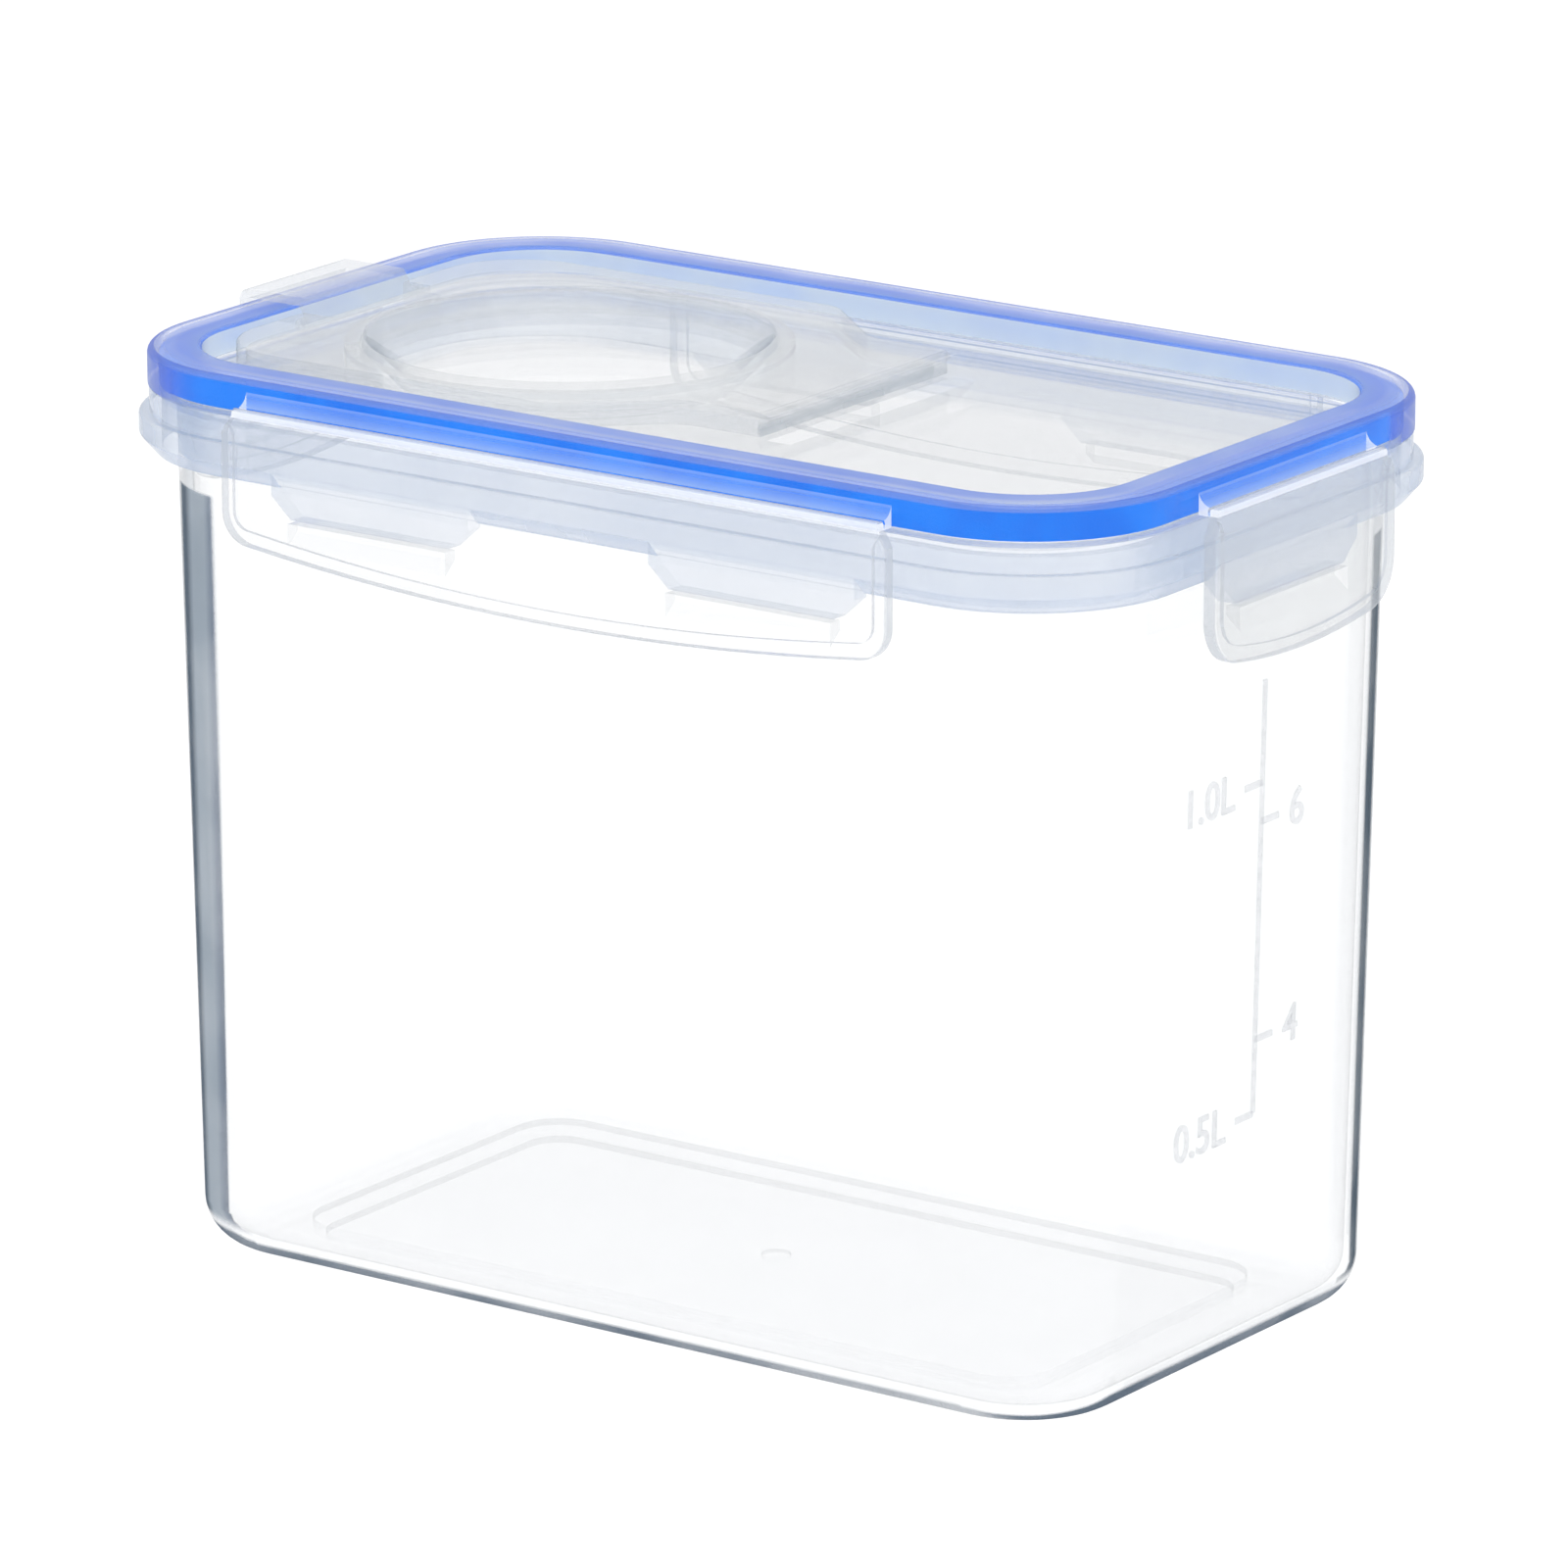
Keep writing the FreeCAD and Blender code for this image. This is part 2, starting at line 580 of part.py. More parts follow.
def make_flap_seal():
    low = panel_top + SEAL_GAP
    high = flap_under + SEAL_GROOVE
    return revolved([(seal_inner, low), (seal_outer, low), (seal_outer, high), (seal_inner, high)])


# Latch

def make_flap_latch():
    """Curled tab: barrel and pins in the flap's notch, plate over the rim, lip with a snap bump."""
    half = LATCH_WIDTH / 2
    barrel = LATCH_BARREL_RADIUS
    lip_outer = latch_lip_x - LATCH_WALL
    bump_x = latch_lip_x + LATCH_BUMP_REACH
    bump_low = latch_lip_bottom + LATCH_GAP / 2
    bump_high = bump_low + LATCH_BUMP_HEIGHT
    arm_x = latch_x - (latch_under - latch_z)
    flat = barrel * math.sqrt(0.5)
    points = [(latch_x - flat, latch_z - flat, 0), (arm_x, latch_under, LATCH_INNER_ROUND),
              (latch_lip_x, latch_under, LATCH_INNER_ROUND), (latch_lip_x, bump_high + LATCH_BUMP_RAMP, 0),
              (bump_x, bump_high, 0), (bump_x, bump_low, 0), (latch_lip_x, latch_lip_bottom, 0),
              (lip_outer, latch_lip_bottom, LATCH_TIP_ROUND), (lip_outer, latch_top, LATCH_OUTER_ROUND),
              (arm_x + LATCH_ARM_STEP, latch_top, LATCH_ARM_ROUND), (latch_x + flat, latch_z + flat, 0)]
    outline = rounded_wire(points, lambda x, z: V(x, -half, z))
    body = Part.Face(outline).extrude(V(0, LATCH_WIDTH, 0))
    side = (LATCH_WIDTH - LATCH_CATCH_WIDTH) / 2
    trims = [box(latch_lip_x, bump_x + OVERRUN, y, y + side,
                 latch_lip_bottom - OVERRUN, latch_under - OVERRUN) for y in (-half, half - side)]
    body = body.cut(trims)
    round_body = Part.makeCylinder(barrel, LATCH_WIDTH, V(latch_x, -half, latch_z), V(0, 1, 0))
    pin = Part.makeCylinder(LATCH_PIN_RADIUS, LATCH_WIDTH + 2 * LATCH_PIN_LENGTH,
                            V(latch_x, -half - LATCH_PIN_LENGTH, latch_z), V(0, 1, 0))
    return one_solid(body.fuse([round_body, pin]))


os.makedirs("parts", exist_ok=True)
long_wing = make_long_wing()
short_wing = make_short_wing()
nodes = {
    "container": make_container(),
    "lid": make_lid(),
    "lid_gasket": make_lid_gasket(),
    "front_wing": long_wing,
    "right_wing": turned(short_wing, 1),
    "back_wing": turned(long_wing, 2),
    "left_wing": turned(short_wing, 3),
    "flap": make_flap(),
    "flap_seal": make_flap_seal(),
    "flap_latch": make_flap_latch(),
}
for name, shape in nodes.items():
    if not shape.isValid() or len(shape.Solids) != 1:
        raise ValueError(f"{name} is not one valid solid")
    shape.exportStep(f"parts/{name}.step")
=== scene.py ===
import math

import bmesh
import bpy
from mathutils import Matrix, Vector


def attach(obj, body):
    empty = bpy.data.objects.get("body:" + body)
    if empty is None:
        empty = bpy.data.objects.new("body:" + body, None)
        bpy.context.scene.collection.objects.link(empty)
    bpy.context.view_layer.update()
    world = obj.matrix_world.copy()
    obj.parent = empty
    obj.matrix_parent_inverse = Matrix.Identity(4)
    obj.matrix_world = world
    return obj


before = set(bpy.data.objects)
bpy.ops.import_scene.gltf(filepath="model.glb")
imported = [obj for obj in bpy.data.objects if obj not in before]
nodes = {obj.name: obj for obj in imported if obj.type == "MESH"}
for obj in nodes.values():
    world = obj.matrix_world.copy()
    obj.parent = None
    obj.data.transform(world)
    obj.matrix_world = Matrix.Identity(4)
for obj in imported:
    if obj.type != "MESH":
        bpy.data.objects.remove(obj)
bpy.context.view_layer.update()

# Food storage container: clear tub and lid, blue gasket, clip-lock wings and a pour flap. Metres, +Z up.

# Camera, at the photograph's angle and distance
CAMERA_YAW_DEG = 35.34
CAMERA_PITCH_DEG = 15.82
CAMERA_DISTANCE = 1.4931
CAMERA_TARGET = Vector((-0.0002, 0.0021, 0.0670))
CAMERA_LENS_MM = 255.95
CAMERA_SENSOR_MM = 36.0
CAMERA_CLIP = (0.05, 50.0)

# Studio
FLOOR_HALF_SIZE = 4.0
FLOOR_GAP = 0.0002
FLOOR_COLOUR = (0.93, 0.935, 0.945, 1)
FLOOR_DIM_COLOUR = (0.915, 0.92, 0.93, 1)
SKY_ZENITH = (1.0, 1.0, 1.0, 1)
SKY_HORIZON = (0.92, 0.935, 0.955, 1)
SKY_RISE = (0.0, 0.7)
SKY_STRENGTH = 1.1
KEY_SIZE = 1.3
KEY_PLACE = Vector((0.35, -0.25, 1.5))
KEY_POWER = 3.0
FILL_SIZE = 1.1
FILL_PLACE = Vector((-1.4, -0.6, 0.9))
FILL_POWER = 1.0

# Where the finishes change, in metres. Here and below, a pair is the start and the end of a soft change.
TUB_MIDDLE = (0.0, 0.0, 0.065)
FLOOR_PANEL_TOP = (0.0034, 0.0036)
FLOOR_PANEL_REACH = {"x": 0.0615, "y": 0.0310}
CORNER_SIDES = (-0.02, 0.02)
CORNER_TRUE_HEIGHT = 0.06
FRONT_EDGE = (0.0, 0.06)
LUG_FOOT = (0.1068, 0.1074)
LUG_REACH = -0.0005
COLLAR_FOOT = (0.1109, 0.1112)
MOUTH_HALF = (0.0768284, 0.0445284)
MOUTH_CORNER = 0.019128
LID_RIM = (0.1240, 0.1246)
CROWN_REACH = (-0.0045, 0.0030)
GASKET_REACH = 0.0015
INNER_WALL_FOOT = (0.1215, 0.1217)
INNER_WALL_REACH = (-0.008, -0.0038)
LEDGE_REACH = 0.0031
LEDGE_HEIGHT = (0.1219, 0.1243)
LEDGE_END_REACH = {"x": 0.0799, "y": 0.0476}
WING_PLATE_REACH = {"x": 0.0819, "y": 0.0496}
HINGE_HEIGHT = 0.1213
HINGE_HALF = (0.0004, 0.0005)
DISH_FLOOR = (0.1202, 0.1208)
FLAP_HINGE_END = (0.0, 0.004)
FLAP_FOOT = (0.1223, 0.1231)

# How a face lies: the part of its normal along one axis
LEVEL = (0.8, 0.99)
PANEL_LEVEL = (0.93, 0.995)
SLOPING = (0.2, 0.4)
ROUNDED = (0.985, 0.9995)
CORNER_ROUNDED = (0.972, 0.986)
CORNER_SLOPING = (0.12, 0.45)
BASE_SLOPING = (0.34, 0.52)
BASE_END = (0.05, 0.35)
FLOOR_PANEL_LEVEL = (0.3, 0.8)
LEDGE_SLOPING = (0.0, 0.12)
LEDGE_END = (0.8, 0.95)
WING_FLAT = (0.55, 0.98)
FLAP_END = (0.5, 0.8)

# How a face is seen: 0 face on, 1 edge on
GLANCE_BLEND = 0.5
TUB_GLANCE = (0.3, 0.6)
RIM_GLANCE = (0.1, 0.95)
SKIRT_GLANCE = (0.4, 0.7)
WING_GLANCE = (0.25, 0.5)
EDGE_GLANCE = (0.6, 0.98)

# Haze cover: 0 clear, 1 solid
MOST_COVER = 0.97
LEAST_COVER = 0.0001
TUB_COVER = (0.008, 0.05)
FLOOR_PANEL_COVER = (0.12, 0.015)
RIM_COVER = (0.09, 0.26)
LID_COVER = 0.004
PANEL_COVER = 0.15
SHOULDER_COVER = 0.42
INNER_WALL_COVER = 0.9
LEDGE_END_HIGHLIGHT_COVER = 0.75
SKIRT_COVER = 0.75
LID_EDGE_COVER = 0.4
WING_COVER = (0.025, 0.24)
WING_EDGE_COVER = 0.36
HINGE_HIGHLIGHT_COVER = 0.75
FLAP_COVER = 0.02
FLAP_PLATE_COVER = 0.07
DISH_WALL_COVER = 0.18
FLAP_EDGE_COVER = 0.35
FLAP_FOOT_SHADOW_COVER = (0.34, 0.05)
RING_COVER = (0.10, 0.16)
MARK_COVER = (0.13, 0.19)

# Shares of a cover
CORNER_TAPER = 0.9
CORNER_FAR_LOSS = 0.6
FRONT_EDGE_SHARE = (0.95, 0.6)
LUG_SHARE = 1.4
COLLAR_SHARE = 1.6
RIM_FAR_SHARE = 0.55
RIM_NEAR_PAINTED_SHEEN = 0.9

# Colours of the clear mouldings' haze, and of the shade, highlights and gasket tint painted on them
TUB_GREY = (0.50, 0.52, 0.54, 1)
FLOOR_PANEL_STEP_PAINTED_SHADE = (0.36, 0.38, 0.40, 1)
RIM_FROST_AND_SHEEN = (0.33, 0.42, 0.57, 1)
LID_PALE = (0.7, 0.75, 0.82, 1)
PANEL_MILK = (0.48, 0.50, 0.53, 1)
SHOULDER_PAINTED_GASKET_LAVENDER = (0.25, 0.34, 0.69, 1)
INNER_WALL_PALE = (0.76, 0.82, 0.78, 1)
LEDGE_END_PAINTED_HIGHLIGHT = (0.97, 0.98, 1.0, 1)
SKIRT_PAINTED_GASKET_BLUE = (0.04, 0.13, 0.60, 1)
LID_EDGE_PAINTED_SHADE = (0.32, 0.38, 0.46, 1)
RIM_EDGE_PAINTED_SHADE = (0.15, 0.20, 0.58, 1)
WING_GREY = (0.55, 0.565, 0.57, 1)
WING_EDGE_PAINTED_SHADE = (0.42, 0.46, 0.52, 1)
HINGE_PAINTED_HIGHLIGHT = (0.95, 0.96, 0.98, 1)
FLAP_MILK = (0.60, 0.62, 0.64, 1)
DISH_WALL_PAINTED_SHADE = (0.54, 0.57, 0.60, 1)
FLAP_EDGE_PAINTED_SHADE = (0.30, 0.35, 0.40, 1)
RING_PALE = (0.66, 0.70, 0.74, 1)
MARK_GREY = (0.38, 0.40, 0.43, 1)

# Bands of haze, painted shade and painted tint. Each stop is its position, red, green, blue and cover.
# Painted shade down the left and right corners of the tub, and along its base edge, from face on to edge on:
# dark bands for the dark surroundings seen through the clear walls, painted deeper on the left as if less light
# fell there
LEFT_CORNER_PAINTED_SHADE = (
    (0.375, 0.16, 0.195, 0.245, 0.0), (0.395, 0.16, 0.195, 0.245, 0.88), (0.44, 0.19, 0.23, 0.29, 0.90),
    (0.50, 0.29, 0.34, 0.39, 0.88), (0.66, 0.29, 0.34, 0.39, 0.90), (0.78, 0.087, 0.116, 0.152, 0.96),
    (0.85, 0.087, 0.116, 0.152, 0.96), (0.96, 0.12, 0.15, 0.18, 0.30))
RIGHT_CORNER_PAINTED_SHADE = (
    (0.36, 0.58, 0.60, 0.61, 0.0), (0.42, 0.58, 0.60, 0.61, 0.16), (0.58, 0.58, 0.60, 0.61, 0.16),
    (0.66, 0.072, 0.10, 0.13, 0.90), (0.81, 0.058, 0.087, 0.116, 0.97), (0.93, 0.10, 0.13, 0.16, 0.30))
BASE_EDGE_PAINTED_SHADE = (
    (0.54, 0.10, 0.138, 0.18, 0.0), (0.63, 0.087, 0.123, 0.167, 0.9), (1.0, 0.072, 0.10, 0.138, 0.95))
# Top of the lid's rim, from its inner edge out: a painted tint of the blue gasket seen through it, deep blue at
# the inner edge fading to lavender
CROWN_PAINTED_GASKET_TINT = (
    (0.0, 0.13, 0.27, 0.72, 0.87), (0.44, 0.13, 0.27, 0.72, 0.87), (0.56, 0.20, 0.33, 0.72, 0.75),
    (0.68, 0.20, 0.33, 0.72, 0.70), (0.76, 0.25, 0.34, 0.69, 0.22), (1.0, 0.25, 0.34, 0.69, 0.22))
# Hinge ledges, from the tip up to the root: a light blue haze, painted in for the gasket seen through the
# plastic, with lighter stripes painted for reflections off the curved ledge
LEDGE_HAZE_AND_PAINTED_REFLECTION = (
    (0.0, 0.48, 0.64, 0.92, 0.62), (0.3, 0.48, 0.64, 0.92, 0.36), (0.5, 0.48, 0.64, 0.92, 0.26),
    (0.75, 0.48, 0.64, 0.92, 0.55), (1.0, 0.48, 0.64, 0.92, 0.5))

# Shine of the clear mouldings: roughness, and its share face on
TUB_SHINE = (0.04, 0.03)
LID_SHINE = (0.05, 0.012)
WING_SHINE = (0.06, 0.03)
FLAP_SHINE = (0.05, 0.03)
RING_SHINE = (0.25, 0.02)
MARK_SHINE = (0.2, 0.02)
SHINE_POWER = 5.0
SHINE_GROWTH = 0.86
EDGE_DULL = 0.6

# Cloud and grain
CLOUD_SPREAD = (0.3, 0.7)
COARSE_DETAIL = 2.0
FINE_DETAIL = 4.0
FLOW_SCALE = 55.0
FLOW_SHARE = (0.88, 1.12)
RING_CLOUD_SCALE = 180.0
MARK_FROST_SCALE = 900.0
PAPER_TOOTH_SCALE = 300.0

# Gasket silicone
GASKET_BLUE = (0.001, 0.20, 0.88, 1)
GASKET_DEEP_BLUE = (0.001, 0.16, 0.80, 1)
GASKET_MOTTLE_SCALE = 120.0
GASKET_MOTTLE_SPREAD = (0.35, 0.65)
GASKET_GRAIN_SCALE = 2500.0
GASKET_GRAIN_DEPTH = 0.0002

# Fill scale on the right wall
WALL_BASE_HALF_LENGTH = 0.0737
WALL_DRAFT_DEG = 1.16
SCALE_RISE = 0.00025
SCALE_SLOPE = 0.2
SCALE_LINE_WIDTH = 0.0010
SCALE_LINE_Y = 0.003
SCALE_LINE_FROM = 0.0341
SCALE_LINE_TO = 0.0934
SCALE_TICK = 0.0042
SCALE_LITRES = ((0.0794, "1.0L"), (0.0341, "0.5L"))
SCALE_CUPS = ((0.0741, "6"), (0.0443, "4"))
SCALE_TEXT_SIZE = 0.0072
SCALE_TEXT_GAP = 0.0024
SCALE_TEXT_SWELL = 0.00005


# Node helpers

def new_tree(name):
    """An empty node material and its tree."""
    material = bpy.data.materials.new(name)
    material.use_nodes = True
    material.node_tree.nodes.clear()
    return material, material.node_tree


def put(tree, socket, value):
    """Link a socket to an input, or set the input to a plain value."""
    if isinstance(value, bpy.types.NodeSocket):
        tree.links.new(value, socket)
    else:
        socket.default_value = value


def node(tree, kind, settings=None, **inputs):
    """A node with its settings, and its inputs set to a value or linked to a socket."""
    made = tree.nodes.new(kind)
    for name, value in (settings or {}).items():
        setattr(made, name, value)
    for name, value in inputs.items():
        put(tree, made.inputs[name.replace("_", " ")], value)
    return made


def operation_node(tree, kind, operation, values):
    made = node(tree, kind, {"operation": operation})
    for socket, value in zip(made.inputs, values):
        put(tree, socket, value)
    return made


def calc(tree, operation, *values):
    return operation_node(tree, "ShaderNodeMath", operation, values).outputs[0]


def vector_calc(tree, operation, *values):
    return operation_node(tree, "ShaderNodeVectorMath", operation, values)


def ease(tree, value, low, high, to_low=0.0, to_high=1.0):
    """Smooth step of a value between two of its levels."""
    made = node(tree, "ShaderNodeMapRange", {"interpolation_type": "SMOOTHSTEP"}, Value=value,
                From_Min=low, From_Max=high, To_Min=to_low, To_Max=to_high)
    return made.outputs["Result"]


def along(tree, value, start, end):
    """0 at one level of a value and 1 at another, straight between them."""
    made = node(tree, "ShaderNodeMapRange", Value=value, From_Min=start, From_Max=end)
    return made.outputs["Result"]


def mix_colour(tree, factor, first, second):
    made = node(tree, "ShaderNodeMix", {"data_type": "RGBA"})
    pair = [socket for socket in made.inputs if socket.type == "RGBA"]
    for socket, value in zip([made.inputs[0]] + pair, (factor, first, second)):
        put(tree, socket, value)
    return next(socket for socket in made.outputs if socket.type == "RGBA")


def mix_shaders(tree, factor, first, second):
    made = node(tree, "ShaderNodeMixShader")
    for socket, value in zip(made.inputs, (factor, first, second)):
        put(tree, socket, value)
    return made.outputs[0]


def noise(tree, place, scale, detail=3.0):
    return node(tree, "ShaderNodeTexNoise", Vector=place, Scale=scale, Detail=detail).outputs["Fac"]


def shade_ramp(tree, value, stops):
    """Colour and cover along a value; each stop is (position, red, green, blue, cover)."""
    made = node(tree, "ShaderNodeValToRGB", Fac=value)
    elements = made.color_ramp.elements
    while len(elements) < len(stops):
        elements.new(1.0)
    for element, stop in zip(elements, stops):
        element.position = stop[0]
        element.color = stop[1:]
    return made.outputs["Color"], made.outputs["Alpha"]


class Moulding:
    """A clear moulding's material while it is made.

    It knows where a face is and how it lies, and gathers layers of haze.
    """

    def __init__(self, name):
        self.material, self.tree = new_tree(name)
        tree = self.tree
        coords = node(tree, "ShaderNodeTexCoord")
        self.place = coords.outputs["Object"]
        self.x, self.y, self.z = node(tree, "ShaderNodeSeparateXYZ", Vector=self.place).outputs
        self.far_side = node(tree, "ShaderNodeNewGeometry").outputs["Backfacing"]
        turned = calc(tree, "MULTIPLY_ADD", self.far_side, -2.0, 1.0)
        self.normal = node(tree, "ShaderNodeVectorMath", {"operation": "SCALE"},
                           Vector=coords.outputs["Normal"], Scale=turned).outputs[0]
        self.rise = node(tree, "ShaderNodeSeparateXYZ", Vector=self.normal).outputs[2]
        lean = vector_calc(tree, "ABSOLUTE", self.normal).outputs[0]
        self.lean_x, self.lean_y, self.lean_z = node(tree, "ShaderNodeSeparateXYZ", Vector=lean).outputs
        self.glance = node(tree, "ShaderNodeLayerWeight", Blend=GLANCE_BLEND).outputs["Facing"]
        self.cover = None
        self.colour = None

    def level(self):
        """1 on faces that lie flat, 0 on upright ones."""
        return ease(self.tree, self.lean_z, *LEVEL)

    def rounded(self, full=ROUNDED[0], none=ROUNDED[1]):
        """1 on rounded corners and edges, 0 on flat walls, floors and panels."""
        widest = calc(self.tree, "MAXIMUM", self.lean_x, self.lean_y)
        largest = calc(self.tree, "MAXIMUM", widest, self.lean_z)
        return ease(self.tree, largest, full, none, 1.0, 0.0)

    def outside(self, centre):
        """1 on faces that look away from a point in the hollow, 0 on those that look at it."""
        reach = vector_calc(self.tree, "SUBTRACT", self.place, centre).outputs[0]
        look = vector_calc(self.tree, "DOT_PRODUCT", reach, self.normal).outputs["Value"]
        return calc(self.tree, "GREATER_THAN", look, 0.0)

    def beyond(self, axis, reach):
        """1 where a face lies further out than a reach along X or Y, 0 nearer in."""
        across = {"x": self.x, "y": self.y}[axis]
        return calc(self.tree, "GREATER_THAN", calc(self.tree, "ABSOLUTE", across), reach)

    def rim_reach(self):
        """How far a face lies outside the mouth's outline, negative inside it."""
        tree = self.tree
        squares = []
        for across, half in zip((self.x, self.y), MOUTH_HALF):
            past = calc(tree, "SUBTRACT", calc(tree, "ABSOLUTE", across), half - MOUTH_CORNER)
            side = calc(tree, "MAXIMUM", past, 0.0)
            squares.append(self.times(side, side))
        corner = calc(tree, "SQRT", calc(tree, "ADD", *squares))
        return calc(tree, "SUBTRACT", corner, MOUTH_CORNER)

    def times(self, *shares):
        """Product of several shares."""
        product = shares[0]
        for share in shares[1:]:
            product = calc(self.tree, "MULTIPLY", product, share)
        return product

    def without(self, share):
        """What a share leaves of 1."""
        return calc(self.tree, "SUBTRACT", 1.0, share)

    def haze(self, cover, colour):
        """Lay one more haze over those already there."""
        if self.cover is None:
            self.cover, self.colour = cover, colour
            return
        left = self.times(self.cover, self.without(cover))
        total = calc(self.tree, "ADD", left, cover)
        share = calc(self.tree, "DIVIDE", cover, calc(self.tree, "MAXIMUM", total, LEAST_COVER))
        self.colour = mix_colour(self.tree, share, self.colour, colour)
        self.cover = total

    def finish(self, shine_roughness, shine_floor, dull=None):
        """Clear body with its haze, under a gloss that grows at a glance and fades where dull is 1."""
        tree = self.tree
        flow = ease(tree, noise(tree, self.place, FLOW_SCALE, COARSE_DETAIL), *CLOUD_SPREAD, *FLOW_SHARE)
        cover = calc(tree, "MINIMUM", self.times(self.cover, flow), MOST_COVER)
        lit = node(tree, "ShaderNodeBsdfDiffuse", Color=self.colour).outputs[0]
        glow = node(tree, "ShaderNodeBsdfTranslucent", Color=self.colour).outputs[0]
        clear = node(tree, "ShaderNodeBsdfTransparent").outputs[0]
        body = mix_shaders(tree, cover, clear, mix_shaders(tree, 0.5, lit, glow))
        gloss = node(tree, "ShaderNodeBsdfGlossy", Roughness=self.times(flow, shine_roughness))
        growth = calc(tree, "POWER", self.glance, SHINE_POWER)
        shine = calc(tree, "MULTIPLY_ADD", growth, SHINE_GROWTH, shine_floor)
        if dull is not None:
            shine = self.times(shine, self.without(dull))
        surface = mix_shaders(tree, shine, body, gloss.outputs[0])
        node(tree, "ShaderNodeOutputMaterial", Surface=surface)
        return self.material


# Materials

def tub_plastic():
    """Clear tub: painted dark shade bands down its corners and along its base edge, deeper on the left, a pale
    blue frosted rim with a painted sheen on its near side, a faint floor panel with painted shade along its
    step.
    """
    tub = Moulding("clear_tub")
    tree = tub.tree
    tub.haze(ease(tree, tub.glance, *TUB_GLANCE, *TUB_COVER), TUB_GREY)
    outside = tub.outside(TUB_MIDDLE)
    near_side = tub.without(tub.far_side)
    below_rim = ease(tree, tub.z, *LUG_FOOT, 1.0, 0.0)
    body = tub.times(outside, tub.rounded(*CORNER_ROUNDED), below_rim)
    low = ease(tree, tub.z, *FLOOR_PANEL_TOP, 1.0, 0.0)
    panel = tub.times(low, *(tub.without(tub.beyond(axis, reach)) for axis, reach in FLOOR_PANEL_REACH.items()))

    # Painted shade: dark bands down the corners at a glance, deeper on the left corners than on the right, as
    # if less light fell on the left; weaker on far-side faces.
    height = calc(tree, "SUBTRACT", tub.z, CORNER_TRUE_HEIGHT)
    taper = calc(tree, "MULTIPLY_ADD", height, CORNER_TAPER, tub.glance)
    left_shade_colour, left_shade_cover = shade_ramp(tree, taper, LEFT_CORNER_PAINTED_SHADE)
    right_shade_colour, right_shade_cover = shade_ramp(tree, tub.glance, RIGHT_CORNER_PAINTED_SHADE)
    right = ease(tree, tub.x, *CORNER_SIDES)
    corner_shade_colour = mix_colour(tree, right, left_shade_colour, right_shade_colour)
    corner_shade_cover = mix_colour(tree, right, left_shade_cover, right_shade_cover)
    upright = ease(tree, tub.lean_z, *CORNER_SLOPING, 1.0, 0.0)
    behind = calc(tree, "MULTIPLY_ADD", tub.far_side, -CORNER_FAR_LOSS, 1.0)
    corner = tub.times(body, upright, tub.without(panel), behind, corner_shade_cover)
    tub.haze(corner, corner_shade_colour)

    # Painted shade: a dark band along the base edge at a glance, on near-side faces, weaker along the long
    # sides towards the right end.
    base_shade_colour, base_shade_cover = shade_ramp(tree, tub.glance, BASE_EDGE_PAINTED_SHADE)
    front_share = ease(tree, tub.x, *FRONT_EDGE, *FRONT_EDGE_SHARE)
    base_share = ease(tree, tub.lean_x, *BASE_END, front_share, 1.0)
    under = ease(tree, tub.lean_z, *BASE_SLOPING)
    base = tub.times(body, under, near_side, base_shade_cover, base_share)
    tub.haze(base, base_shade_colour)
    # Painted shade: a grey line on the steep step around the floor panel, with only a faint grey on its level
    # faces.
    tub.haze(tub.times(panel, ease(tree, tub.lean_z, *FLOOR_PANEL_LEVEL, *FLOOR_PANEL_COVER)), FLOOR_PANEL_STEP_PAINTED_SHADE)

    collar = ease(tree, tub.z, *COLLAR_FOOT)
    past_wall = calc(tree, "GREATER_THAN", tub.rim_reach(), LUG_REACH)
    lug = tub.times(ease(tree, tub.z, *LUG_FOOT), past_wall)
    rim = calc(tree, "MAXIMUM", tub.times(lug, LUG_SHARE), tub.times(collar, COLLAR_SHARE))
    # The collar and lugs are frosted; their near-side outer faces get extra haze, a painted sheen for the light
    # they catch.
    rim_share = calc(tree, "MULTIPLY_ADD", tub.times(outside, near_side), RIM_NEAR_PAINTED_SHEEN, RIM_FAR_SHARE)
    tub.haze(tub.times(rim, rim_share, ease(tree, tub.glance, *RIM_GLANCE, *RIM_COVER)), RIM_FROST_AND_SHEEN)
    return tub.finish(*TUB_SHINE, calc(tree, "ADD", corner, base))


